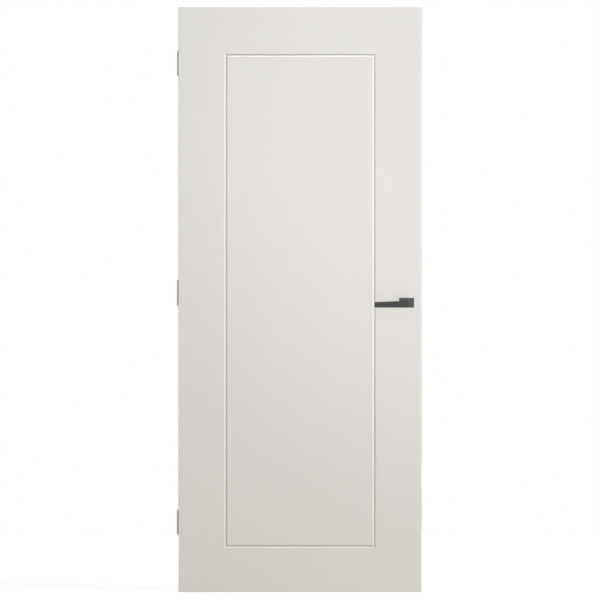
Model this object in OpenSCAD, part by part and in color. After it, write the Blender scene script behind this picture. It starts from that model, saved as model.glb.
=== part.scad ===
// Flush interior door leaf with one routed groove rectangle on each face,
// a lever handle on both sides, a passage latch and three butt hinges.
// X runs from the hinge edge to the closing edge, Y from the front face to the
// back face and Z up. The origin is the middle of the bottom hinge's frame leaf,
// on the face that lies against the door frame.

/* [Door leaf] */
// Width of the leaf
leaf_w = 880; // [730:5:1030]
// Height of the leaf
leaf_h = 2115; // [1915:5:2315]
// Thickness of the leaf over both skins
leaf_t = 40; // [38:1:54]
// Thickness of each face skin
skin_t = 6; // [5:0.5:8]
// Width of the two upright stiles
stile_w = 38; // [30:1:60]
// Height of the top rail
top_rail_h = 60; // [40:5:120]
// Height of the bottom rail
bottom_rail_h = 90; // [40:5:160]
// Radius of the eased edges round each face
arris_r = 1.5; // [0.5:0.25:3]

/* [Groove] */
// Width of the V groove at the face
groove_w = 10; // [6:0.5:14]
// Depth of the V groove
groove_d = 4.5; // [2:0.25:4.5]
// Leaf edge to groove centre line, at both sides
groove_side = 172; // [120:1:220]
// Leaf top to groove centre line
groove_top = 174.5; // [120:0.5:260]
// Leaf bottom to groove centre line
groove_bottom = 165; // [120:0.5:260]

/* [Hinges] */
// Height of each hinge
hinge_h = 89; // [76:1:100]
// Width of a hinge laid open
hinge_open_w = 89; // [84:1:96]
// Thickness of a hinge leaf
hinge_t = 3; // [2.5:0.25:3.5]
// Gap between the two leaves of a closed hinge
hinge_gap = 2; // [1.5:0.25:4]
// Outer radius of the knuckles
knuckle_r = 7; // [6.5:0.25:7.5]
// Radius of the hinge pin
pin_r = 4; // [3:0.25:4.25]
// Pin axis beyond the leaf's back face
pin_setoff = 8; // [8:0.25:10]
// Thickness of a bearing ring
bearing_t = 2; // [1.5:0.25:3]
// Corner radius of the hinge leaves
hinge_corner_r = 10; // [4:1:14]
// Leaf bottom to the middle of the bottom hinge
bottom_hinge_z = 250; // [180:5:350]
// Leaf top to the middle of the top hinge
top_hinge_z = 200; // [160:5:300]
// Screw holes of both leaves, spacing across the hinge
hinge_hole_dy = 17; // [14:0.5:19]
// Screw holes of a frame leaf, spacing up the hinge
frame_hole_dz = 64; // [60:0.5:66]
// Screw holes of a door leaf, spacing up the hinge, so that no two heads face each other
door_hole_dz = 46; // [40:0.5:48]
// Radius of the hinge screw holes
hinge_hole_r = 2.6; // [2.2:0.1:3]
// Radius of the countersinks at the surface
csk_r = 4.9; // [4.4:0.1:5.2]
// Length of the hinge screws
hinge_screw_l = 30; // [20:1:34]

/* [Handle] */
// Leaf bottom to the spindle axis
spindle_z = 1046; // [900:1:1150]
// Closing edge to the spindle axis
backset = 55; // [50:1:65]
// Side of the square spindle
spindle_side = 8; // [7:0.5:9]
// Width of the rosette
rosette_w = 54; // [50:0.5:60]
// Height of the rosette
rosette_h = 35.5; // [33:0.5:44]
// Thickness of the rosette
rosette_t = 8; // [6:0.5:10]
// Bevel round the rosette's front
rosette_bevel = 2.5; // [1:0.25:3]
// Radius of the round neck
neck_r = 9; // [8.5:0.25:10]
// Face of the leaf to the front of the lever
lever_projection = 50; // [44:0.5:60]
// Thickness of the lever bar at the spindle
lever_t_root = 12; // [10:0.5:14]
// Thickness of the lever bar at its tip
lever_t_tip = 9.5; // [8:0.5:12]
// Spindle axis to the tip of the lever
lever_reach = 117; // [95:1:130]
// Spindle axis to the underside of the lever
lever_drop = 17.5; // [15:0.5:19]
// Height of the lever bar at its tip
lever_tip_h = 20.2; // [16:0.2:24]
// Height of the lever bar beside its head
lever_bar_h = 23.6; // [20:0.2:26]
// Spindle axis to the far side of the lever's head
head_r = 9.8; // [9:0.2:11]
// Spindle axis to the start of the head's shoulder
head_l = 26; // [20:1:32]
// Radius of the tip's two corners
lever_tip_r = 5; // [4.5:0.25:8]
// Radius of the head's lower corner
lever_heel_r = 7; // [5:0.25:9]
// Rounding of the lever's front edges
lever_front_r = 3.5; // [1:0.25:4]
// Rounding of the lever's back edges
lever_back_r = 1.5; // [0.5:0.25:3]
// Radius of the set screw in the neck
grub_r = 3; // [2:0.25:3]

/* [Latch] */
// Height of the latch case
case_h = 104; // [90:1:130]
// Depth of the latch case behind its faceplate
case_w = 80; // [72:1:86]
// Thickness of the latch case
case_t = 13; // [12:0.5:15]
// Height of the faceplate
plate_h = 174; // [150:1:235]
// Width of the faceplate
plate_w = 20; // [18:0.5:22]
// Thickness of the faceplate
plate_t = 3; // [2.5:0.25:4]
// Height of the latch bolt
bolt_h = 24; // [18:1:30]
// Thickness of the latch bolt
bolt_t = 9; // [8:0.5:10]
// Length of the latch bolt
bolt_l = 26; // [20:1:30]
// Spacing of the faceplate's two screws
plate_hole_dz = 150; // [130:1:160]
// Radius of the faceplate's screw holes
plate_hole_r = 2.2; // [1.8:0.1:2.4]
// Length of the faceplate screws
plate_screw_l = 25; // [16:1:30]

/* [Fits] */
// Running clearance of a pin or neck in its bore, on the radius
run_fit = 0.08; // [0.02:0.01:0.1]
// Clearance between pieces that turn past each other end to end
end_gap = 0.3; // [0.2:0.05:0.5]
// Clearance of a seated piece in its recess
seat_gap = 0.1; // [0.05:0.05:0.3]

/* [Hidden] */
$fn = 64;

paint = "#e4e2dd";
paint_edge = "#dcdad4";
board = "#c9ad82";
steel = "#b9bcbf";
anthracite = "#46474a";

// The leaf in the frame of the bottom hinge
leaf_x0 = hinge_t + hinge_gap;
leaf_x1 = leaf_x0 + leaf_w;
flange_d = hinge_open_w / 2 - pin_setoff;
leaf_y1 = flange_d / 2;
leaf_y0 = leaf_y1 - leaf_t;
leaf_ym = (leaf_y0 + leaf_y1) / 2;
leaf_z0 = -bottom_hinge_z;
leaf_z1 = leaf_z0 + leaf_h;
cut = 1;
// Share of its own size by which the groove's cutter stands out of the face
groove_over = 0.2;

// Hinge pin axis and the heights of the three hinges
pin_x = hinge_t + hinge_gap / 2;
pin_y = leaf_y1 + pin_setoff;
top_z = leaf_z1 - top_hinge_z;
bottom_z = 0;
middle_z = (top_z + bottom_z) / 2;
hinge_zs = [bottom_z, middle_z, top_z];
bearing_gap = bearing_t + 2 * end_gap;
plain_gap = 2 * end_gap;
knuckle_h = (hinge_h - 2 * bearing_gap - 2 * plain_gap) / 5;
knuckle_rise = [0, bearing_gap, bearing_gap + plain_gap, bearing_gap + 2 * plain_gap,
    2 * bearing_gap + 2 * plain_gap];
frame_knuckles = [0, 2, 4];
door_knuckles = [1, 3];
csk_d = hinge_t * 0.75;
pin_cap_t = 2;
pin_cap_r = knuckle_r - 1.2;
bearing_r = knuckle_r - 0.4;

// Spindle axis and latch
spin_x = leaf_x1 - backset;
spin_z = leaf_z0 + spindle_z;
spindle_hole_r = neck_r + 1;
follower_wall = 3;
follower_r = spindle_side / sqrt(2) + follower_wall;
plate_csk = 1.8;

// The spindle's sockets end behind the lever bars, and the spindle ends short of them
socket_end = lever_t_root + 2;
spindle_play = 1;
grub_sink = 1;
grub_hex_d = 2;

// The shoulder where the lever's bar rises into its head, and the steps of its curves
lever_steps = 12;
shoulder_mid = (head_r + lever_bar_h - lever_drop) / 2;
shoulder_rise = (head_r - lever_bar_h + lever_drop) / 2;

function knuckle_z(i) = i * knuckle_h + knuckle_rise[i] - hinge_h / 2;

// Points of a circular arc from angle a to angle b in n steps
function arc(cx, cy, r, a, b, n) =
    [for (i = [0 : n]) [cx + r * cos(a + (b - a) * i / n), cy + r * sin(a + (b - a) * i / n)]];

// A board that stands between two x, two y and two z values
module board_between(x0, x1, y0, y1, z0, z1) {
    translate([x0, y0, z0]) cube([x1 - x0, y1 - y0, z1 - z0]);
}

// An edge of a skin in outline, with its face side at y = 0 and both face corners eased
module eased_outline(width) {
    polygon(concat(
        arc(arris_r, arris_r, arris_r, 180, 270, 4),
        arc(width - arris_r, arris_r, arris_r, 270, 360, 4),
        [[width, skin_t], [0, skin_t]]));
}

// One face skin without its groove, face towards -Y at y = 0, corner at the origin
module eased_skin() {
    intersection() {
        linear_extrude(leaf_h) eased_outline(leaf_w);
        translate([leaf_w, 0, 0])
            rotate([0, -90, 0])
                linear_extrude(leaf_w)
                    eased_outline(leaf_h);
    }
}

// One side of the groove: a V bar along +X from the origin, mitred at both ends
module groove_side_bar(length) {
    half = groove_w / 2;
    intersection() {
        translate([-half, 0, 0])
            rotate([90, 0, 90])
                linear_extrude(length + groove_w)
                    polygon([[-groove_over * groove_d, half * (1 + groove_over)],
                        [groove_d, 0],
                        [-groove_over * groove_d, -half * (1 + groove_over)]]);
        rotate([90, 0, 0])
            translate([0, 0, -leaf_t / 2])
                linear_extrude(leaf_t)
                    polygon([[-groove_w, -groove_w], [length + groove_w, -groove_w],
                        [length - groove_w, groove_w], [groove_w, groove_w]]);
    }
}

// The routed rectangle, face at y = 0, in the frame of one skin
module groove_ring() {
    ring_w = leaf_w - 2 * groove_side;
    ring_h = leaf_h - groove_top - groove_bottom;
    translate([groove_side, 0, groove_bottom]) {
        groove_side_bar(ring_w);
        translate([ring_w, 0, 0]) rotate([0, -90, 0]) groove_side_bar(ring_h);
        translate([ring_w, 0, ring_h]) rotate([0, 180, 0]) groove_side_bar(ring_w);
        translate([0, 0, ring_h]) rotate([0, 90, 0]) groove_side_bar(ring_h);
    }
}

// The pocket that one hinge leaf lies in, in the hinge edge of the leaf
module hinge_pocket() {
    translate([leaf_x0 - cut, leaf_y1 - flange_d - seat_gap, -hinge_h / 2 - seat_gap])
        rotate([90, 0, 90])
            linear_extrude(hinge_t + cut)
                flange_outline(flange_d + seat_gap + cut, hinge_h + 2 * seat_gap, hinge_corner_r);
}

// A hinge leaf's flat in outline: depth along x, height along y, rounded at x = 0
module flange_outline(depth, height, r) {
    polygon(concat(
        arc(r, r, r, 180, 270, 6),
        [[depth, 0], [depth, height]],
        arc(r, height - r, r, 90, 180, 6)));
}

module hinge_pockets() {
    for (z = hinge_zs)
        translate([0, 0, z]) hinge_pocket();
}

// The four screw places of a hinge leaf, in its own plane
module at_hinge_holes(hole_dz) {
    for (y = [-1, 1], z = [-1, 1])
        translate([0, y * hinge_hole_dy / 2, z * hole_dz / 2])
            rotate([0, 90, 0])
                children();
}

// The round hole through both faces for the spindle
module spindle_hole(r) {
    translate([spin_x, leaf_ym, spin_z])
        rotate([90, 0, 0])
            cylinder(h = leaf_t + 2 * cut, r = r, center = true);
}

module front_skin() {
    color(paint)
        difference() {
            translate([leaf_x0, leaf_y0, leaf_z0])
                difference() {
                    eased_skin();
                    groove_ring();
                }
            spindle_hole(spindle_hole_r);
            hinge_pockets();
        }
}

// The back face repeats the front one, turned about the middle plane of the leaf
module back_skin() {
    color(paint)
        difference() {
            translate([leaf_x0, leaf_y1, leaf_z0])
                mirror([0, 1, 0])
                    difference() {
                        eased_skin();
                        groove_ring();
                    }
            spindle_hole(spindle_hole_r);
            hinge_pockets();
        }
}

module hinge_stile() {
    color(paint_edge)
        difference() {
            board_between(leaf_x0, leaf_x0 + stile_w, leaf_y0 + skin_t, leaf_y1 - skin_t,
                leaf_z0, leaf_z1);
            hinge_pockets();
            for (z = hinge_zs)
                translate([leaf_x0, 0, z])
                    at_hinge_holes(door_hole_dz)
                        cylinder(h = hinge_screw_l + cut, r = hinge_hole_r);
        }
}

module lock_stile() {
    color(paint_edge)
        difference() {
            board_between(leaf_x1 - stile_w, leaf_x1, leaf_y0 + skin_t, leaf_y1 - skin_t,
                leaf_z0, leaf_z1);
            latch_pocket();
        }
}

module top_rail() {
    color(paint_edge)
        board_between(leaf_x0 + stile_w, leaf_x1 - stile_w, leaf_y0 + skin_t, leaf_y1 - skin_t,
            leaf_z1 - top_rail_h, leaf_z1);
}

module bottom_rail() {
    color(paint_edge)
        board_between(leaf_x0 + stile_w, leaf_x1 - stile_w, leaf_y0 + skin_t, leaf_y1 - skin_t,
            leaf_z0, leaf_z0 + bottom_rail_h);
}

module core_board() {
    color(board)
        difference() {
            board_between(leaf_x0 + stile_w, leaf_x1 - stile_w,
                leaf_y0 + skin_t, leaf_y1 - skin_t,
                leaf_z0 + bottom_rail_h, leaf_z1 - top_rail_h);
            latch_pocket();
            spindle_hole(spindle_hole_r);
        }
}

// The mortise for the case, the recess for the faceplate and the two screw pilots
module latch_pocket() {
    translate([leaf_x1 - plate_t - case_w - seat_gap, leaf_ym - case_t / 2 - seat_gap,
        spin_z - case_h / 2 - seat_gap])
        cube([case_w + plate_t + cut, case_t + 2 * seat_gap, case_h + 2 * seat_gap]);
    translate([leaf_x1 - plate_t, leaf_ym, spin_z])
        rotate([90, 0, 90])
            linear_extrude(plate_t + cut)
                plate_outline(seat_gap);
    at_plate_holes()
        cylinder(h = plate_screw_l + cut, r = plate_hole_r);
}

// The faceplate in outline, with round ends
module plate_outline(grow) {
    r = plate_w / 2 + grow;
    span = plate_h / 2 - plate_w / 2;
    polygon(concat(arc(0, span, r, 0, 180, 12), arc(0, -span, r, 180, 360, 12)));
}

// The faceplate's two screw places, pointing into the leaf
module at_plate_holes() {
    for (z = [-1, 1])
        translate([leaf_x1, leaf_ym, spin_z + z * plate_hole_dz / 2])
            rotate([0, -90, 0])
                children();
}

// A countersunk screw, its head's face at z = 0 and its shank along +Z
module countersunk_screw(head_r, shank_r, head_h, length) {
    slot_w = shank_r * 0.45;
    difference() {
        union() {
            cylinder(h = head_h, r1 = head_r, r2 = shank_r);
            cylinder(h = length, r = shank_r);
        }
        for (a = [0, 90])
            rotate([0, 0, a])
                cube([head_r * 1.1, slot_w, head_h], center = true);
    }
}

// A countersunk hole, its mouth at z = 0
module countersunk_hole(mouth_r, hole_r, mouth_d, depth) {
    translate([0, 0, -cut]) cylinder(h = depth + 2 * cut, r = hole_r);
    cylinder(h = mouth_d, r1 = mouth_r, r2 = hole_r);
}

module latch_case() {
    color(steel)
        difference() {
            translate([leaf_x1 - plate_t - case_w, leaf_ym - case_t / 2, spin_z - case_h / 2])
                cube([case_w, case_t, case_h]);
            spindle_hole(follower_r + run_fit);
            translate([leaf_x1 - bolt_l - seat_gap, leaf_ym - bolt_t / 2 - seat_gap,
                spin_z - bolt_h / 2 - seat_gap])
                cube([bolt_l + cut, bolt_t + 2 * seat_gap, bolt_h + 2 * seat_gap]);
        }
}

// The follower that the spindle turns inside the case
module latch_follower() {
    side = spindle_side + 2 * seat_gap;
    color(steel)
        translate([spin_x, leaf_ym, spin_z])
            rotate([90, 0, 0])
                difference() {
                    cylinder(h = case_t, r = follower_r, center = true);
                    cube([side, side, case_t + 2 * cut], center = true);
                }
}

// The bolt's nose is eased and stands level with the faceplate, drawn in by its spring
module latch_bolt() {
    nose = bolt_t / 4;
    color(steel)
        translate([leaf_x1 - bolt_l, leaf_ym, spin_z - bolt_h / 2])
            linear_extrude(bolt_h)
                polygon(concat(
                    [[0, -bolt_t / 2]],
                    arc(bolt_l - nose, nose - bolt_t / 2, nose, 270, 360, 5),
                    arc(bolt_l - nose, bolt_t / 2 - nose, nose, 0, 90, 5),
                    [[0, bolt_t / 2]]));
}

module latch_faceplate() {
    color(steel)
        difference() {
            translate([leaf_x1 - plate_t, leaf_ym, spin_z])
                rotate([90, 0, 90])
                    linear_extrude(plate_t)
                        difference() {
                            plate_outline(0);
                            square([bolt_t + 2 * seat_gap, bolt_h + 2 * seat_gap], center = true);
                        }
            at_plate_holes()
                countersunk_hole(plate_hole_r + plate_csk, plate_hole_r, plate_csk, plate_t);
        }
}

module faceplate_screws() {
    color(steel)
        at_plate_holes()
            countersunk_screw(plate_hole_r + plate_csk - seat_gap, plate_hole_r - seat_gap,
                plate_csk, plate_screw_l);
}

// A bevelled rectangular rosette, its back at y = 0 and its face towards -Y
module rosette() {
    difference() {
        intersection() {
            translate([0, 0, -rosette_h / 2])
                linear_extrude(rosette_h)
                    rosette_outline(rosette_w);
            translate([rosette_w / 2, 0, 0])
                rotate([0, -90, 0])
                    linear_extrude(rosette_w)
                        rosette_outline(rosette_h);
        }
        rotate([90, 0, 0])
            translate([0, 0, -cut])
                cylinder(h = rosette_t + 2 * cut, r = neck_r + run_fit);
    }
}

module rosette_outline(width) {
    half = width / 2;
    polygon([[-half, 0], [-half, rosette_bevel - rosette_t],
        [rosette_bevel - half, -rosette_t], [half - rosette_bevel, -rosette_t],
        [half, rosette_bevel - rosette_t], [half, 0]]);
}

// The lever seen from the front: x along the bar, y up, spindle axis at the origin
function lever_outline() = concat(
    arc(0, 0, head_r, 0, 90, lever_steps),
    [for (i = [0 : lever_steps])
        [-head_l * (0.5 + 0.5 * i / lever_steps),
            shoulder_mid + shoulder_rise * cos(180 * i / lever_steps)]],
    arc(lever_tip_r - lever_reach, lever_tip_h - lever_drop - lever_tip_r, lever_tip_r,
        90, 180, lever_steps / 2),
    arc(lever_tip_r - lever_reach, lever_tip_r - lever_drop, lever_tip_r,
        180, 270, lever_steps / 2),
    arc(head_r - lever_heel_r, lever_heel_r - lever_drop, lever_heel_r,
        270, 360, lever_steps / 2));

// An outline's points, each moved inwards by d along the normal at that point
function inset(points, d) =
    [for (i = [0 : len(points) - 1])
        let (before = points[(i + len(points) - 1) % len(points)],
            after = points[(i + 1) % len(points)],
            along = (after - before) / norm(after - before))
        points[i] + d * [-along[1], along[0]]];

// The lever's sections from its front to its back: [depth from the front face, inset]
function front_sections() =
    [for (i = [0 : lever_steps / 2])
        let (a = 90 - 180 * i / lever_steps)
        [lever_front_r * (1 - sin(a)), lever_front_r * (1 - cos(a))]];

function back_sections() =
    [for (i = [0 : lever_steps / 4])
        let (a = 360 * i / lever_steps)
        [-lever_back_r * (1 - sin(a)), lever_back_r * (1 - cos(a))]];

// How far the bar has thinned on each face at a place along it
function thinning(x) = (lever_t_root - lever_t_tip) / 2 * max(0, -x) / lever_reach;

// The points of one section, standing in the lever's own depth
function section_points(section, face_y, thin) =
    [for (p = inset(lever_outline(), section[1]))
        [p[0], face_y + section[0] + thin * thinning(p[0]), p[1]]];

// The bar and head of the lever: the outline carried through its sections, ends closed
module lever_body() {
    front_y = -lever_projection;
    back_y = front_y + lever_t_root;
    rings = concat(
        [for (section = front_sections()) section_points(section, front_y, 1)],
        [for (section = back_sections()) section_points(section, back_y, -1)]);
    count = len(rings[0]);
    last = len(rings) - 1;
    walls = [for (k = [0 : last - 1], i = [0 : count - 1])
        let (j = (i + 1) % count)
        each [[k * count + i, (k + 1) * count + j, (k + 1) * count + i],
            [k * count + i, k * count + j, (k + 1) * count + j]]];
    polyhedron(
        points = [for (ring = rings) each ring],
        faces = concat(
            [[for (i = [count - 1 : -1 : 0]) i]],
            walls,
            [[for (i = [0 : count - 1]) last * count + i]]));
}

// One lever, its neck's end close to the leaf's face at y = 0
module lever() {
    socket = spindle_side + 2 * seat_gap;
    difference() {
        union() {
            lever_body();
            translate([0, -end_gap, 0])
                rotate([90, 0, 0])
                    cylinder(h = lever_projection - lever_t_root / 2 - end_gap, r = neck_r);
        }
        translate([-socket / 2, -lever_projection + socket_end, -socket / 2])
            cube([socket, lever_projection, socket]);
        translate([0, -grub_y(), -lever_drop])
            cylinder(h = lever_drop, r = grub_r);
    }
}

// Distance of the set screw from the leaf's face, midway along the open neck
function grub_y() = (rosette_t + lever_projection - lever_t_root) / 2;

// The set screw that clamps the spindle, with a hexagon socket in its end
module grub_screw() {
    length = neck_r - spindle_side / 2 - seat_gap - grub_sink;
    translate([0, -grub_y(), grub_sink - neck_r])
        difference() {
            cylinder(h = length, r = grub_r - seat_gap);
            translate([0, 0, -cut]) cylinder(h = grub_hex_d + cut, r = grub_r / 2, $fn = 6);
        }
}

module at_front_face() {
    translate([spin_x, leaf_y0, spin_z]) children();
}

module at_back_face() {
    translate([spin_x, leaf_y1, spin_z]) mirror([0, 1, 0]) children();
}

module front_rosette() { color(anthracite) at_front_face() rosette(); }
module back_rosette() { color(anthracite) at_back_face() rosette(); }
module front_lever() { color(anthracite) at_front_face() lever(); }
module back_lever() { color(anthracite) at_back_face() lever(); }
module front_grub_screw() { color(steel) at_front_face() grub_screw(); }
module back_grub_screw() { color(steel) at_back_face() grub_screw(); }

module spindle() {
    length = leaf_t + 2 * (lever_projection - socket_end - spindle_play);
    color(steel)
        translate([spin_x, leaf_ym, spin_z])
            cube([spindle_side, length, spindle_side], center = true);
}

// The frame-side leaf of one hinge, or with the door's knuckles and holes the mirror of
// the door-side leaf
module hinge_leaf(knuckles, hole_dz) {
    difference() {
        union() {
            translate([0, leaf_y1 - flange_d, -hinge_h / 2])
                rotate([90, 0, 90])
                    linear_extrude(hinge_t)
                        flange_outline(flange_d, hinge_h, hinge_corner_r);
            for (i = knuckles)
                translate([0, 0, knuckle_z(i)]) {
                    translate([0, leaf_y1 - cut, 0]) cube([hinge_t, pin_setoff + cut, knuckle_h]);
                    translate([pin_x, pin_y, 0]) cylinder(h = knuckle_h, r = knuckle_r);
                }
        }
        translate([pin_x, pin_y, -hinge_h / 2 - cut])
            cylinder(h = hinge_h + 2 * cut, r = pin_r + run_fit);
        translate([hinge_t, 0, 0])
            at_hinge_holes(hole_dz)
                rotate([180, 0, 0])
                    countersunk_hole(csk_r, hinge_hole_r, csk_d, hinge_t);
    }
}

module hinge_frame_leaf(z) {
    color(paint) translate([0, 0, z]) hinge_leaf(frame_knuckles, frame_hole_dz);
}

module hinge_door_leaf(z) {
    color(paint)
        translate([2 * pin_x, 0, z])
            mirror([1, 0, 0])
                hinge_leaf(door_knuckles, door_hole_dz);
}

module hinge_pin(z) {
    color(paint)
        translate([pin_x, pin_y, z]) {
            cylinder(h = hinge_h, r = pin_r, center = true);
            for (end = [-1, 1])
                translate([0, 0, end * (hinge_h + pin_cap_t) / 2])
                    cylinder(h = pin_cap_t, r = pin_cap_r, center = true);
        }
}

module hinge_bearings(z) {
    color(steel)
        for (i = [0, 3])
            translate([pin_x, pin_y, z + knuckle_z(i) + knuckle_h + end_gap])
                difference() {
                    cylinder(h = bearing_t, r = bearing_r);
                    translate([0, 0, -cut])
                        cylinder(h = bearing_t + 2 * cut, r = pin_r + run_fit);
                }
}

module hinge_screws(z) {
    color(steel)
        translate([leaf_x0, 0, z])
            at_hinge_holes(door_hole_dz)
                countersunk_screw(csk_r - seat_gap, hinge_hole_r - seat_gap, csk_d,
                    hinge_screw_l);
}

front_skin();
back_skin();
hinge_stile();
lock_stile();
top_rail();
bottom_rail();
core_board();
latch_case();
latch_follower();
latch_bolt();
latch_faceplate();
faceplate_screws();
front_rosette();
back_rosette();
spindle();
front_lever();
back_lever();
front_grub_screw();
back_grub_screw();
hinge_door_leaf(top_z);  // top_hinge_door_leaf
hinge_frame_leaf(top_z);  // top_hinge_frame_leaf
hinge_pin(top_z);  // top_hinge_pin
hinge_bearings(top_z);  // top_hinge_bearings
hinge_screws(top_z);  // top_hinge_screws
hinge_door_leaf(middle_z);  // middle_hinge_door_leaf
hinge_frame_leaf(middle_z);  // middle_hinge_frame_leaf
hinge_pin(middle_z);  // middle_hinge_pin
hinge_bearings(middle_z);  // middle_hinge_bearings
hinge_screws(middle_z);  // middle_hinge_screws
hinge_door_leaf(bottom_z);  // bottom_hinge_door_leaf
hinge_frame_leaf(bottom_z);  // bottom_hinge_frame_leaf
hinge_pin(bottom_z);  // bottom_hinge_pin
hinge_bearings(bottom_z);  // bottom_hinge_bearings
hinge_screws(bottom_z);  // bottom_hinge_screws
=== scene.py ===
import math

import bmesh
import bpy
import numpy as np
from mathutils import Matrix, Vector


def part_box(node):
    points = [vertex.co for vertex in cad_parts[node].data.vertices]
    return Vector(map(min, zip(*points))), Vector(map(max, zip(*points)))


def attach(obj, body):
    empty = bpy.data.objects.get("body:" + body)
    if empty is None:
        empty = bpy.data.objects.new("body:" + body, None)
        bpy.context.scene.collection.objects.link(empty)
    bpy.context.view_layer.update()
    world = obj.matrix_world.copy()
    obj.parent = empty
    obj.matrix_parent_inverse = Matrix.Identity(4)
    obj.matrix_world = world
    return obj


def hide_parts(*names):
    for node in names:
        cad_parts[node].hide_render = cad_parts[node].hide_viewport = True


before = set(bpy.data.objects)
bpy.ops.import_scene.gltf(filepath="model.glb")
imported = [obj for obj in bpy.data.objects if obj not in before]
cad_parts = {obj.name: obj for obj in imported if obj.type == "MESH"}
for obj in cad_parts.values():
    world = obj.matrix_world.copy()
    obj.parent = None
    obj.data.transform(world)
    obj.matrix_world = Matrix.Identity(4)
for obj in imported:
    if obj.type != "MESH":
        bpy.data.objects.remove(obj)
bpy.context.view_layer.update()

# Core. Chipboard fills the leaf between its stiles and rails: resin-bonded chips, lying
# flat, with the mill's sawn edges. The two face skins are glued over it, so it shows only
# down the holes that are bored for the spindle and the latch.
core_chip = 0.006
chip_flatness = 3.0
chip_depth = 0.0003
core_pale = (0.62, 0.47, 0.30)
core_dark = (0.42, 0.29, 0.17)


class Amount:
    """A number that a finish works out. Arithmetic on it adds Math nodes to that finish."""

    def __init__(self, finish, socket):
        self.finish = finish
        self.socket = socket

    def maths(self, operation, first, second):
        return self.finish.node("ShaderNodeMath", {"operation": operation},
                                {0: first, 1: second})

    def __add__(self, other):
        return self.maths("ADD", self, other)

    def __radd__(self, other):
        return self.maths("ADD", other, self)

    def __mul__(self, other):
        return self.maths("MULTIPLY", self, other)

    def __rmul__(self, other):
        return self.maths("MULTIPLY", other, self)


class Finish:
    """The nodes of one finish, on a piece or on the studio around it."""

    def __init__(self, tree):
        self.tree = tree

    def node(self, kind, settings, sockets, output=0):
        """Adds a node, gives it its settings, feeds its sockets and returns one output."""
        node = self.tree.nodes.new(kind)
        for name, value in settings.items():
            setattr(node, name, value)
        for key, value in sockets.items():
            self.feed(node.inputs[key], value)
        return Amount(self, node.outputs[output])

    def feed(self, socket, value):
        """Links a socket to a worked-out value, or sets it to a number or colour."""
        if isinstance(value, Amount):
            self.tree.links.new(value.socket, socket)
        else:
            socket.default_value = value

    def place(self, stretch=(1.0, 1.0, 1.0)):
        """Object coordinates in metres, multiplied along each axis by its stretch."""
        point = self.node("ShaderNodeTexCoord", {}, {}, "Object")
        return self.node("ShaderNodeMapping", {}, {"Vector": point, "Scale": stretch})

    def clouds(self, size, stretch=(1.0, 1.0, 1.0), detail=2.0):
        """Noise from 0 to 1 in soft blobs about size metres across."""
        return self.node("ShaderNodeTexNoise", {},
                         {"Vector": self.place(stretch), "Scale": 1.0 / size,
                          "Detail": detail})

    def chips(self, size, stretch=(1.0, 1.0, 1.0)):
        """A flat random tone from 0 to 1 in each of many cells about size metres across."""
        cell = self.node("ShaderNodeTexVoronoi", {},
                         {"Vector": self.place(stretch), "Scale": 1.0 / size}, "Color")
        return self.node("ShaderNodeRGBToBW", {}, {"Color": cell})

    def blend(self, share, first, second):
        """A colour between first, where share is 0, and second, where it is 1."""
        return self.node("ShaderNodeMix", {"data_type": "RGBA"},
                         {0: share, 6: (*first, 1.0), 7: (*second, 1.0)}, 2)

    def relief(self, height, depth):
        """A normal for a surface that stands depth metres higher where height is 1."""
        return self.node("ShaderNodeBump", {}, {"Distance": depth, "Height": height})


class Coating(Finish):
    """A finish on a piece: a material with one surface shader, plain until it is fed."""

    def __init__(self, name, colour, roughness, metallic=0.0):
        self.material = bpy.data.materials.new(name)
        self.material.use_nodes = True
        self.material.diffuse_color = (*colour, 1.0)
        super().__init__(self.material.node_tree)
        self.surface = self.tree.nodes["Principled BSDF"]
        self.set("Base Color", (*colour, 1.0))
        self.set("Roughness", roughness)
        self.set("Metallic", metallic)

    def set(self, name, value):
        self.feed(self.surface.inputs[name], value)

    def coat(self, *nodes):
        """Gives CAD nodes this finish in place of the plain one they were packed with."""
        for node in nodes:
            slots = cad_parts[node].data.materials
            slots.clear()
            slots.append(self.material)


chipboard = Coating("raw_chipboard", core_pale, roughness=0.9)
chip_tone = chipboard.chips(core_chip, (1.0, chip_flatness, 1.0))
chipboard.set("Base Color", chipboard.blend(chip_tone, core_pale, core_dark))
chipboard.set("Normal", chipboard.relief(chip_tone, chip_depth))
chipboard.coat("core_board")

# Stiles and rails. Softwood battens frame the leaf and take the hinge screws and the
# latch. Their outer edges are sanded and sprayed with the same lacquer as the faces, and
# the grain still stands up through it as fine lines that run along each batten.
lacquer_colour = (0.800, 0.787, 0.766)
edge_shade = (0.775, 0.759, 0.732)
edge_grain = 0.0009
edge_grain_depth = 0.00006
grain_run = 0.02          # the grain's width for each unit of its length


def edge_lacquer(name, stretch):
    """Satin lacquer over sanded softwood whose grain runs along the squeezed axis."""
    lacquer = Coating(name, lacquer_colour, roughness=0.42)
    grain = lacquer.clouds(edge_grain, stretch, 3.0)
    lacquer.set("Base Color", lacquer.blend(0.5 * grain, lacquer_colour, edge_shade))
    lacquer.set("Roughness", 0.36 + 0.16 * grain)
    lacquer.set("Normal", lacquer.relief(grain, edge_grain_depth))
    return lacquer


edge_lacquer("lacquer_on_upright_grain", (1.0, 1.0, grain_run)).coat(
    "hinge_stile", "lock_stile")
edge_lacquer("lacquer_on_level_grain", (grain_run, 1.0, 1.0)).coat(
    "top_rail", "bottom_rail")

# Face skins. Fibreboard sheets, 6 mm thick, cover both faces, with a rectangle of V-groove
# routed in each. They are sprayed with satin off-white lacquer, which dries with a fine
# orange peel, and takes on a trace more tone where the boards differ.
peel = 0.0028
peel_depth = 0.000022
gloss_patch = 0.03
drift = 0.35
lacquer_warm = (0.796, 0.781, 0.757)

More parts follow.
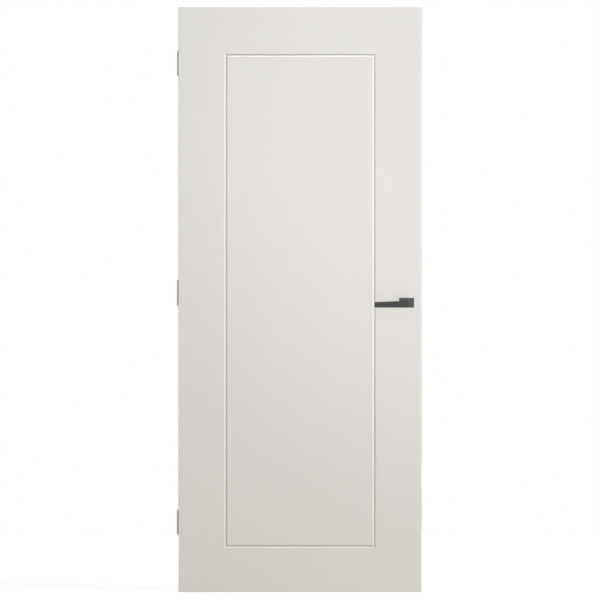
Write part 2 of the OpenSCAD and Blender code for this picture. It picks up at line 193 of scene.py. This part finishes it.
skin_lacquer = Coating("satin_lacquer_on_fibreboard", lacquer_colour, roughness=0.38)
skin_lacquer.set("Base Color", skin_lacquer.blend(
    skin_lacquer.clouds(drift), lacquer_colour, lacquer_warm))
skin_lacquer.set("Roughness", 0.34 + 0.08 * skin_lacquer.clouds(gloss_patch))
skin_lacquer.set("Normal", skin_lacquer.relief(skin_lacquer.clouds(peel), peel_depth))
skin_lacquer.coat("front_skin", "back_skin")

# Latch. A folded steel case in a pocket of the lock stile holds the follower and the
# latch bolt. It is bright zinc-plated, with the faint crystal bloom of the plating bath.
zinc_colour = (0.66, 0.67, 0.67)
nickel_colour = (0.60, 0.575, 0.53)
plate_dulling = 0.82
plate_depth = 0.000006


def plated_steel(name, colour, roughness, bloom):
    """Plated steel whose gloss and tone drift a little in patches of bloom metres."""
    plate = Coating(name, colour, roughness, metallic=1.0)
    cloud = plate.clouds(bloom, detail=4.0)
    dull = tuple(plate_dulling * part for part in colour)
    plate.set("Base Color", plate.blend(cloud, colour, dull))
    plate.set("Roughness", roughness - 0.08 + 0.16 * cloud)
    plate.set("Normal", plate.relief(plate.clouds(bloom / 8), plate_depth))
    return plate


plated_steel("zinc_plated_case", zinc_colour, roughness=0.38, bloom=0.004).coat(
    "latch_case", "latch_follower")
plated_steel("nickel_plated_bolt", nickel_colour, roughness=0.22, bloom=0.003).coat(
    "latch_bolt")

# Faceplate. A strip of stainless steel, let into the leaf's edge, carries the case. It is
# brushed from end to end, and two countersunk screws hold it.
brush_width = 0.00035
brush_run = 0.012         # a score's width for each unit of its length
brush_depth = 0.000012
steel_colour = (0.54, 0.53, 0.51)
steel_scored = (0.37, 0.36, 0.345)

brushed = Coating("brushed_stainless", steel_colour, roughness=0.30, metallic=1.0)
scores = brushed.clouds(brush_width, (1.0, 1.0, brush_run), 3.0)
brushed.set("Base Color", brushed.blend(scores, steel_colour, steel_scored))
brushed.set("Roughness", 0.22 + 0.22 * scores)
brushed.set("Normal", brushed.relief(scores, brush_depth))
brushed.coat("latch_faceplate")

# Screws. The steel wood screws of the faceplate and hinges are turned, and then plated
# with zinc, so that their heads keep a soft shine.
screw_colour = (0.62, 0.61, 0.585)

bright_screw = plated_steel("zinc_plated_screws", screw_colour, roughness=0.28,
                            bloom=0.002)
bright_screw.coat("faceplate_screws")

# Hinges. Each is a pair of 3 mm steel plates with knuckles rolled on their edges, powder
# coated white like the door. The coat is a little glossier and more pebbled than lacquer.
hinge_colour = (0.83, 0.825, 0.815)
hinge_shade = (0.80, 0.793, 0.780)
bearing_colour = (0.50, 0.49, 0.475)
powder_pebble = 0.0011
powder_depth = 0.00004
powder_patch = 0.02
hinge_places = ("top", "middle", "bottom")

powder_coat = Coating("white_powder_coat", hinge_colour, roughness=0.34)
pebbles = powder_coat.clouds(powder_pebble, detail=1.0)
powder_coat.set("Base Color", powder_coat.blend(
    powder_coat.clouds(powder_patch), hinge_colour, hinge_shade))
powder_coat.set("Roughness", 0.28 + 0.12 * pebbles)
powder_coat.set("Normal", powder_coat.relief(pebbles, powder_depth))
bearing_steel = plated_steel("polished_bearing_steel", bearing_colour, roughness=0.2,
                             bloom=0.004)
for place in hinge_places:
    powder_coat.coat(f"{place}_hinge_door_leaf", f"{place}_hinge_frame_leaf",
                     f"{place}_hinge_pin")
    bearing_steel.coat(f"{place}_hinge_bearings")
    bright_screw.coat(f"{place}_hinge_screws")

# Rosettes. Die-cast plates with bevelled edges cover the spindle's hole on both faces.
# They are coated in anthracite, a satin metallic grey, and clip over the plates that the
# levers' necks turn in.
# The rosettes' grey is the levers' coating painted paler: painted light, for the light that
# their face and bevels catch.
rosette_anthracite_painted_lighter = (0.077, 0.080, 0.077)
rosette_anthracite_pale_painted_lighter = (0.086, 0.089, 0.086)
coating_grit = 0.0006
coating_grit_depth = 0.000015
coating_patch = 0.012
spindle_x = 0.830
spindle_z = 0.796
front_face_y = -0.02175
back_face_y = 0.01825
rosette_wide = 0.054
rosette_high = 0.0355
rosette_thick = 0.008
rosette_bevel = 0.0025
rosette_hole = 0.00908
corner_ease = 0.0006
edge_ease = 0.0005
face_steps = 6
crease_angle = math.radians(35.0)


def turn(centre, radius, start, stop, steps):
    """Points of an arc: the centre plus the radius times cosine and sine of the angle."""
    angle = np.radians(np.linspace(start, stop, steps))
    return np.stack([centre[0] + radius * np.cos(angle),
                     centre[1] + radius * np.sin(angle)], axis=1)


def eased(line, ease, steps=5):
    """A line whose inner corners are rounded.

    Each corner gives way to a parabola that leaves the line ease before the corner and
    meets it again ease behind it: (1-t)^2 of the first, 2t(1-t) of the corner, t^2 of the
    last point.
    """
    line = np.asarray(line, float)
    t = np.linspace(0.0, 1.0, steps)[:, None]
    parts = [line[:1]]
    for before, corner, after in zip(line, line[1:], line[2:]):
        enter = corner + ease * (before - corner) / np.linalg.norm(before - corner)
        leave = corner + ease * (after - corner) / np.linalg.norm(after - corner)
        parts.append((1 - t) ** 2 * enter + 2 * t * (1 - t) * corner + t ** 2 * leave)
    return np.concatenate(parts + [line[-1:]])


def oblong(width, height, radius, side_steps=10, corner_steps=6):
    """A rectangle round the origin with round corners, counterclockwise, ends not joined."""
    x, z = width / 2 - radius, height / 2 - radius
    corners = [turn((sx * x, sz * z), radius, start, start + 90.0, corner_steps)
               for sx, sz, start in ((1, 1, 0.0), (-1, 1, 90.0), (-1, -1, 180.0),
                                     (1, -1, 270.0))]
    share = np.linspace(0.0, 1.0, side_steps)[1:-1, None]
    sides = [here[-1] * (1 - share) + there[0] * share
             for here, there in zip(corners, corners[1:] + corners[:1])]
    return np.concatenate([part for pair in zip(corners, sides) for part in pair])


def grid_faces(rings, around, joined):
    """Quads between rings of points, each ring closed. The last meets the first if joined."""
    ring = np.arange(rings if joined else rings - 1)[:, None] * around
    ahead = (ring + around) % (rings * around)
    here = np.arange(around)[None, :]
    after = (here + 1) % around
    return np.stack([ring + here, ring + after, ahead + after, ahead + here],
                    axis=-1).reshape(-1, 4)


def piece_of(name, points, faces, finish):
    """A closed mesh at the origin, doubles merged, smooth but for its creases."""
    mesh = bpy.data.meshes.new(name)
    mesh.from_pydata(points.tolist(), [], [list(face) for face in faces])
    shape = bmesh.new()
    shape.from_mesh(mesh)
    bmesh.ops.remove_doubles(shape, verts=shape.verts, dist=1e-7)
    bmesh.ops.recalc_face_normals(shape, faces=shape.faces)
    shape.to_mesh(mesh)
    shape.free()
    mesh.polygons.foreach_set("use_smooth", np.ones(len(mesh.polygons), bool))
    mesh.set_sharp_from_angle(angle=crease_angle)
    mesh.materials.append(finish.material)
    piece = bpy.data.objects.new(name, mesh)
    bpy.context.scene.collection.objects.link(piece)
    return piece


def rosette_rings():
    """Rings of a rosette, from its back edge up the side, over the face and down its hole.

    The outer rings are rectangles drawn in along the bevelled and eased profile. The rest
    turn step by step into the hole's circle, each point along its own ray.
    """
    profile = eased([(0.0, 0.0), (rosette_thick - rosette_bevel, 0.0),
                     (rosette_thick, rosette_bevel), (rosette_thick, 2 * rosette_bevel)],
                    edge_ease)
    rings = []
    for out, inset in profile:
        ring = oblong(rosette_wide - 2 * inset, rosette_high - 2 * inset, corner_ease)
        rings.append(np.column_stack([ring[:, 0], np.full(len(ring), -out), ring[:, 1]]))
    rim = rings[-1]
    ray = rim[:, ::2] / np.linalg.norm(rim[:, ::2], axis=1, keepdims=True)
    hole = eased([(rosette_hole + 4 * edge_ease, rosette_thick),
                  (rosette_hole, rosette_thick), (rosette_hole, 0.0)], edge_ease)
    first = np.column_stack([ray[:, 0] * hole[0, 0], rim[:, 1], ray[:, 1] * hole[0, 0]])
    for share in np.linspace(0.0, 1.0, face_steps)[1:-1]:
        rings.append(rim * (1 - share) + first * share)
    for radius, out in hole:
        rings.append(np.column_stack([ray[:, 0] * radius, np.full(len(ray), -out),
                                      ray[:, 1] * radius]))
    return np.stack(rings)


def anthracite_coat(name, colour, pale):
    """Satin metallic grey, a little paler in soft patches, with the fine grit of the spray."""
    coat = Coating(name, colour, roughness=0.45, metallic=0.6)
    grit = coat.clouds(coating_grit, detail=1.0)
    coat.set("Base Color", coat.blend(coat.clouds(coating_patch), colour, pale))
    coat.set("Roughness", 0.40 + 0.12 * grit)
    coat.set("Normal", coat.relief(grit, coating_grit_depth))
    return coat


# The rosettes' coating, painted paler than the levers' as painted light.
plate_coat = anthracite_coat("anthracite_rosette_painted_lighter", rosette_anthracite_painted_lighter,
                             rosette_anthracite_pale_painted_lighter)
rings = rosette_rings()
for name, face_y, outward in (("front_rosette", front_face_y, 1.0),
                              ("back_rosette", back_face_y, -1.0)):
    points = rings.reshape(-1, 3) * (1.0, outward, 1.0) + (spindle_x, face_y, spindle_z)
    rosette = piece_of(f"{name}_cast", points,
                       grid_faces(len(rings), rings.shape[1], True), plate_coat)
    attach(rosette, "leaf")
    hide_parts(name)

# Spindle and set screws. An 8 mm square bar of drawn steel turns the latch's follower,
# and a black hexagon-socket screw in each lever's neck clamps it.
spindle_colour = (0.60, 0.59, 0.57)
blacking_colour = (0.055, 0.055, 0.060)

plated_steel("drawn_steel_spindle", spindle_colour, roughness=0.33, bloom=0.003).coat(
    "spindle")
plated_steel("blacked_set_screws", blacking_colour, roughness=0.35, bloom=0.002).coat(
    "front_grub_screw", "back_grub_screw")

# Levers. One solid casting each: a flat bar, deepest at the spindle, that thins towards
# its tip, with a round neck behind its head. A square socket takes the spindle, and a
# hole under the neck the set screw. Their anthracite is the rosettes' coating painted a
# little darker, as painted shade.
lever_anthracite_painted_darker = (0.046, 0.047, 0.048)
lever_anthracite_pale_painted_darker = (0.054, 0.055, 0.056)
lever_out = 0.050
lever_thick = 0.012
lever_thin = 0.0095
lever_reach = 0.117
lever_drop = 0.0175
tip_height = 0.0202
bar_height = 0.0236
head_round = 0.0098
shoulder_start = 0.026
tip_round = 0.005
heel_round = 0.007
front_round = 0.0035
back_round = 0.0015
curve_steps = 28
round_steps = 10
cap_rows = 5
ridge_inset = 0.008
neck_round = 0.009
neck_steps = 96
neck_gap = 0.0003
neck_end = 0.044
socket_side = 0.0082
socket_floor = 0.036
set_screw_out = 0.023
set_screw_hole = 0.003


def lever_outline():
    """The lever's upper and lower edge from the front, with equal counts of points.

    The upper edge is the head's quarter circle, half a cosine wave down the shoulder, the
    straight bar and the tip's corner. The lower edge is the heel's corner, the straight
    underside and the tip's other corner. Both run from the head to the tip.
    """
    middle = (head_round + bar_height - lever_drop) / 2
    rise = (head_round - bar_height + lever_drop) / 2
    wave = np.linspace(0.0, 1.0, curve_steps)
    shoulder = np.stack([-shoulder_start * (0.5 + 0.5 * wave),
                         middle + rise * np.cos(np.pi * wave)], axis=1)
    tip_x = tip_round - lever_reach
    tip_top = tip_height - lever_drop
    along = np.linspace(shoulder[-1, 0], tip_x, curve_steps)[1:-1]
    bar_top = np.interp(along, [tip_x, shoulder[-1, 0]], [tip_top, shoulder[-1, 1]])
    upper = np.concatenate([
        turn((0.0, 0.0), head_round, 0.0, 90.0, curve_steps),
        shoulder,
        np.stack([along, bar_top], axis=1),
        turn((tip_x, tip_top - tip_round), tip_round, 90.0, 180.0, curve_steps)])
    heel = turn((head_round - heel_round, heel_round - lever_drop), heel_round,
                360.0, 270.0, curve_steps)
    tip = turn((tip_x, tip_round - lever_drop), tip_round, 270.0, 180.0, curve_steps)
    under = np.linspace(heel[-1, 0], tip[0, 0], len(upper) - 2 * curve_steps + 2)[1:-1]
    lower = np.concatenate([
        heel, np.stack([under, np.full(len(under), -lever_drop)], axis=1), tip])
    return upper, lower


def drawn_in(loop, distance):
    """A closed outline moved inwards by distance, square to the line between neighbours."""
    along = np.roll(loop, -1, axis=0) - np.roll(loop, 1, axis=0)
    along /= np.linalg.norm(along, axis=1, keepdims=True)
    return loop + distance * np.stack([-along[:, 1], along[:, 0]], axis=1)


def lever_rings():
    """Rings of a lever's bar and head from its front ridge to its back ridge.

    The outline is carried from front to back, drawn in near both faces by quarter circles
    that round the edges. On each face, smaller rings shrink to the ridge, a line half-way
    between the upper and the lower edge. Both faces lean inwards in proportion to the
    distance from the head.
    """
    upper, lower = lever_outline()
    loop = np.concatenate([upper, lower[::-1]])
    middle_x = np.clip((upper[:, 0] + lower[:, 0]) / 2, ridge_inset - lever_reach,
                       head_round - ridge_inset)
    middle_z = np.interp(middle_x, [-lever_reach, head_round],
                         [tip_height / 2 - lever_drop, (head_round - lever_drop) / 2])
    middle = np.stack([middle_x, middle_z], axis=1)
    ridge = np.concatenate([middle, middle[::-1]])
    angle = np.radians(np.linspace(90.0, 0.0, round_steps))
    bow = np.stack([1.0 - np.sin(angle), 1.0 - np.cos(angle)], axis=1)
    lean = (lever_thick - lever_thin) / 2 / lever_reach
    halves = []
    for start, side, radius in ((-lever_out, 1.0, front_round),
                                (lever_thick - lever_out, -1.0, back_round)):
        edge = drawn_in(loop, radius)
        rows = [(0.0, ridge + share * (edge - ridge))
                for share in np.linspace(0.0, 1.0, cap_rows)[:-1]]
        rows += [(radius * depth, drawn_in(loop, radius * inset)) for depth, inset in bow]
        halves.append([np.column_stack([
            row[:, 0], start + side * (depth + lean * np.maximum(0.0, -row[:, 0])),
            row[:, 1]]) for depth, row in rows])
    return np.stack(halves[0] + halves[1][::-1])


def bar_between(section, start, stop, upright):
    """Points and faces of a straight bar: its section carried out from the leaf's face,
    or up from below where upright, and closed at both ends."""
    count = len(section)
    ends = []
    for reach in (start, stop):
        level = np.full(count, reach)
        ends.append(np.column_stack([section[:, 0], section[:, 1] - set_screw_out, level])
                    if upright else
                    np.column_stack([section[:, 0], -level, section[:, 1]]))
    sides = grid_faces(2, count, False).tolist()
    return np.concatenate(ends), sides + [list(range(count)), list(range(count, 2 * count))]


def shaped(piece, tool, operation):
    """Joins the tool to a piece, or takes it off, for good, and removes the tool."""
    cut = piece.modifiers.new("cut", "BOOLEAN")
    cut.operation = operation
    cut.object = tool
    cut.solver = "EXACT"
    result = bpy.data.meshes.new_from_object(
        piece.evaluated_get(bpy.context.evaluated_depsgraph_get()))
    piece.modifiers.clear()
    piece.data = result
    bpy.data.objects.remove(tool)


# The levers' coating, painted darker than the rosettes' as painted shade.
lever_coat = anthracite_coat("anthracite_lever_painted_darker", lever_anthracite_painted_darker, lever_anthracite_pale_painted_darker)
lever_faces = lever_rings()
circle = turn((0.0, 0.0), 1.0, 0.0, 360.0, neck_steps + 1)[:-1]
socket = np.array([(1, 1), (-1, 1), (-1, -1), (1, -1)]) * socket_side / 2
for name, face_y, outward in (("front_lever", front_face_y, 1.0),
                              ("back_lever", back_face_y, -1.0)):
    place = np.array([spindle_x, face_y, spindle_z])
    side = np.array([1.0, outward, 1.0])
    lever = piece_of(f"{name}_cast", lever_faces.reshape(-1, 3) * side + place,
                     grid_faces(len(lever_faces), lever_faces.shape[1], False), lever_coat)
    for use, (points, faces) in (
            ("UNION", bar_between(circle * neck_round, neck_gap, neck_end, False)),
            ("DIFFERENCE", bar_between(socket, -neck_gap, socket_floor, False)),
            ("DIFFERENCE", bar_between(circle * set_screw_hole, -lever_drop, 0.0, True))):
        tool = piece_of("tool", points * side + place, faces, lever_coat)
        shaped(lever, tool, use)
    lever.data.set_sharp_from_angle(angle=crease_angle)
    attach(lever, "handle")
    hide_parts(name)

# Studio. The leaf stands on a white floor under an even sky. Two soft boxes, from the right
# and from above, light its upper half, a sun from the upper right rakes the grooves, and a
# lamp behind lights the back. The camera looks square at the front face.
picture_side = 600
leaf_height_px = 585.0
leaf_middle_px = (300.1, 299.5)
lens_mm = 200.0
sensor_mm = 36.0
floor_gap = 0.001
floor_reach = 3.0
floor_tone = (0.51, 0.47, 0.41)
floor_shade = (0.43, 0.43, 0.43)
floor_glow = 0.66
sky_strength = 0.27
soft_box_place = Vector((4.90, -4.87, 1.59))     # both boxes from the leaf's upper corner
soft_box_aim = Vector((1.20, 0.0, -0.16))
soft_box_watts = 4140.0
top_box_place = Vector((0.0, -3.12, 3.66))
top_box_aim = Vector((-0.10, 0.0, 0.70))
top_box_watts = 1780.0
box_radius = 2.0
sun_place = Vector((7.6, -2.8, 6.0))
sun_strength = 2.4
back_lamp_place = Vector((-1.8, 4.2, 2.2))       # from the leaf's middle
back_lamp_watts = 170.0
back_lamp_side = 2.5

leaf_low, leaf_high = (Vector(corner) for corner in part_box("front_skin"))
leaf_middle = (leaf_low + leaf_high) / 2
metres_per_px = (leaf_high.z - leaf_low.z) / leaf_height_px
camera = bpy.data.objects.new("camera", bpy.data.cameras.new("camera"))
bpy.context.scene.collection.objects.link(camera)
bpy.context.scene.camera = camera
camera.data.lens = lens_mm
camera.data.sensor_width = sensor_mm
camera.data.clip_end = 200.0
camera.rotation_euler = (math.radians(90.0), 0.0, 0.0)
camera.location = (
    leaf_middle.x + (picture_side / 2 - leaf_middle_px[0]) * metres_per_px,
    leaf_low.y - picture_side * metres_per_px * lens_mm / sensor_mm,
    leaf_middle.z - (picture_side / 2 - leaf_middle_px[1]) * metres_per_px,
)


def shown_straight(finish):
    """1 for rays from the camera, a gloss or glass, and 0 for the light on the object."""
    seen = finish.node("ShaderNodeLightPath", {}, {}, "Is Camera Ray")
    gloss = finish.node("ShaderNodeLightPath", {}, {}, "Is Glossy Ray")
    glass = finish.node("ShaderNodeLightPath", {}, {}, "Is Transmission Ray")
    return finish.node("ShaderNodeClamp", {}, {0: seen + gloss + glass})


sky = bpy.data.worlds.new("studio")
bpy.context.scene.world = sky
sky.use_nodes = True
sky_finish = Finish(sky.node_tree)
background = sky.node_tree.nodes["Background"]
background.inputs["Color"].default_value = (1.0, 1.0, 1.0, 1.0)
sky_finish.feed(background.inputs["Strength"],
                sky_strength + (1.0 - sky_strength) * shown_straight(sky_finish))

floor_mesh = bpy.data.meshes.new("floor")
floor_z = leaf_low.z - floor_gap
floor_mesh.from_pydata(
    [(leaf_middle.x + x * floor_reach, y * floor_reach, floor_z)
     for x, y in ((-1, -1), (1, -1), (1, 1), (-1, 1))], [], [(0, 1, 2, 3)])
floor = bpy.data.objects.new("floor", floor_mesh)
bpy.context.scene.collection.objects.link(floor)
floor_material = bpy.data.materials.new("studio_floor")
floor_material.use_nodes = True
floor_finish = Finish(floor_material.node_tree)
bounce = floor_finish.node("ShaderNodeBsdfDiffuse", {}, {"Color": (*floor_tone, 1.0)})
shade = floor_finish.node("ShaderNodeBsdfDiffuse", {}, {"Color": (*floor_shade, 1.0)})
glow = floor_finish.node("ShaderNodeEmission", {}, {"Strength": floor_glow})
white = floor_finish.node("ShaderNodeAddShader", {}, {0: shade, 1: glow})
mixed = floor_finish.node("ShaderNodeMixShader", {}, {
    0: shown_straight(floor_finish), 1: bounce, 2: white})
floor_finish.feed(floor_material.node_tree.nodes["Material Output"].inputs["Surface"],
                  mixed)
floor_mesh.materials.append(floor_material)


def lamp(kind, name, place, target, power, **settings):
    """A lamp that stands at place and faces target, its power in watts, or W/m2 for a sun."""
    light = bpy.data.lights.new(name, kind)
    light.energy = power
    for key, value in settings.items():
        setattr(light, key, value)
    holder = bpy.data.objects.new(name, light)
    holder.location = place
    aim = Vector(target) - Vector(place)
    holder.rotation_euler = aim.to_track_quat("-Z", "Y").to_euler()
    bpy.context.scene.collection.objects.link(holder)
    return holder


corner = Vector((leaf_high.x, leaf_low.y, leaf_high.z))
soft_box = lamp("SPOT", "soft_box", corner + soft_box_place, corner + soft_box_aim,
                soft_box_watts, shadow_soft_size=box_radius,
                spot_size=math.radians(14.5), spot_blend=0.43)
top_box = lamp("SPOT", "top_box", corner + top_box_place, corner + top_box_aim,
               top_box_watts, shadow_soft_size=box_radius,
               spot_size=math.radians(20.7), spot_blend=0.36)
raking = lamp("SUN", "raking_light", sun_place, (0.0, 0.0, 0.0), sun_strength,
              angle=math.radians(6.0))
lamp("AREA", "back_lamp", leaf_middle + back_lamp_place, leaf_middle, back_lamp_watts,
     size=back_lamp_side)

# In the photo the handle throws no shadow on the leaf, so the lamps in front pass it.
shadowless = bpy.data.collections.new("handles_cast_no_shadow")
for holder in (soft_box, top_box, raking):
    holder.light_linking.blocker_collection = shadowless
for name in ("front_lever_cast", "back_lever_cast", "front_rosette_cast",
             "back_rosette_cast"):
    shadowless.objects.link(bpy.data.objects[name])
for name in ("spindle", "front_grub_screw", "back_grub_screw"):
    shadowless.objects.link(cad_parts[name])
for member in shadowless.collection_objects:
    member.light_linking.link_state = "EXCLUDE"

bpy.context.scene.view_settings.view_transform = "Standard"
